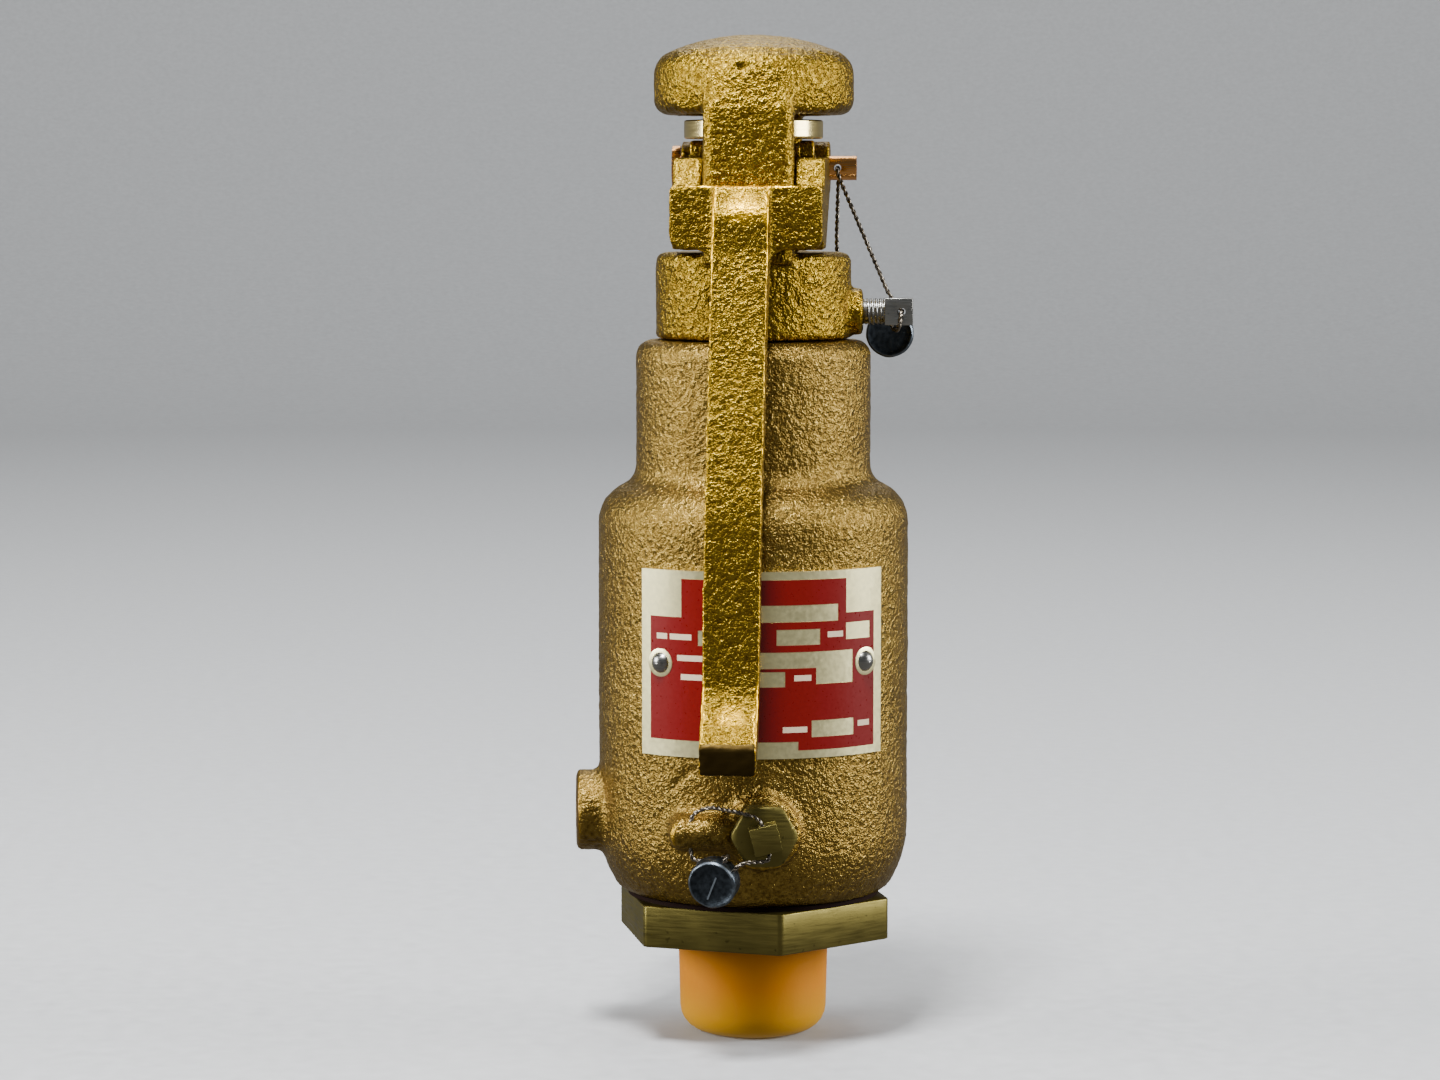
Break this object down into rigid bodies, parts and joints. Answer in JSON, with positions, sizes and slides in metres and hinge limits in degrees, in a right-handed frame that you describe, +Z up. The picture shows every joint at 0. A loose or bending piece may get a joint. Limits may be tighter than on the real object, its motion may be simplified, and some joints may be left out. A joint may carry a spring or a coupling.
{
  "type": "pressure relief valve",
  "caption": "Side-outlet safety relief valve in cast bronze: threaded inlet with a plastic protector, spring-loaded disc, and a cap with a forked lifting lever.",
  "frame": {"origin": "on the inlet axis, at the flat foot of the thread protector", "axes": "+Z up along the valve axis, +Y out of the side outlet, -X out of the drain boss, -Y towards the nameplate and lever"},
  "size_m": [0.0666, 0.0887, 0.195],
  "materials": {
    "cast_bronze": "sand cast, matte",
    "cap_bronze": "sand cast, brighter",
    "machined_brass": "machined, dull",
    "bright_brass": "turned, bright",
    "pin_bronze": "drawn bronze",
    "stainless_steel": "turned",
    "spring_steel": "oil tempered",
    "zinc_steel": "zinc plated",
    "rivet_steel": "polished",
    "seal_wire_steel": "twisted",
    "lead": "pressed lead",
    "plate_aluminium": "red enamel on bare aluminium",
    "gasket_fibre": "red fibre",
    "protector_plastic": "satin, slightly translucent"
  },
  "bodies": {
    "valve": {"body": "cast_bronze", "nozzle": "machined_brass", "body_gasket": "gasket_fibre", "regulating_ring": "machined_brass", "ring_pin": "machined_brass", "lower_seal_wire": "seal_wire_steel", "lower_lead_seal": "lead", "guide": "machined_brass", "upper_spring_step": "zinc_steel", "compression_screw": "machined_brass", "jam_nut": "machined_brass", "cap": "cap_bronze", "cap_set_screw": "zinc_steel", "upper_seal_wire": "seal_wire_steel", "upper_lead_seal": "lead", "lever_pin": "pin_bronze", "nameplate": "plate_aluminium", "nameplate_rivets": "rivet_steel", "spring": "spring_steel"},
    "stem_group": {"stem": "stainless_steel", "disc_insert": "stainless_steel", "disc_holder": "machined_brass", "stem_retaining_ring": "stainless_steel", "lower_spring_step": "zinc_steel", "lift_disc": "bright_brass", "stem_nut": "machined_brass"},
    "lever_arm": {"lever": "cap_bronze"},
    "protector": {"thread_protector": "protector_plastic"}
  },
  "joints": [
    {"name": "lever_swing", "type": "hinge", "parent": "valve", "child": "lever_arm", "pos_m": [0.00104, 0.00844, 0.1693], "axis": [-0.9925, 0.1219, 0], "range_deg": [0, 11]},
    {"name": "stem_lift", "type": "slide", "parent": "valve", "child": "stem_group", "axis": [0, 0, 1], "range_m": [0, 0.0024], "stiffness_N_per_m": 400, "springref_m": -0.006, "deforming": ["spring"]},
    {"name": "thread_protector_pull", "type": "slide", "parent": "valve", "child": "protector", "axis": [0, 0, -1], "range_m": [0, 0.022]}
  ],
  "couplings": [
    {"joint": "stem_lift", "follows": "lever_swing", "m_per_rad": 0.012}
  ]
}
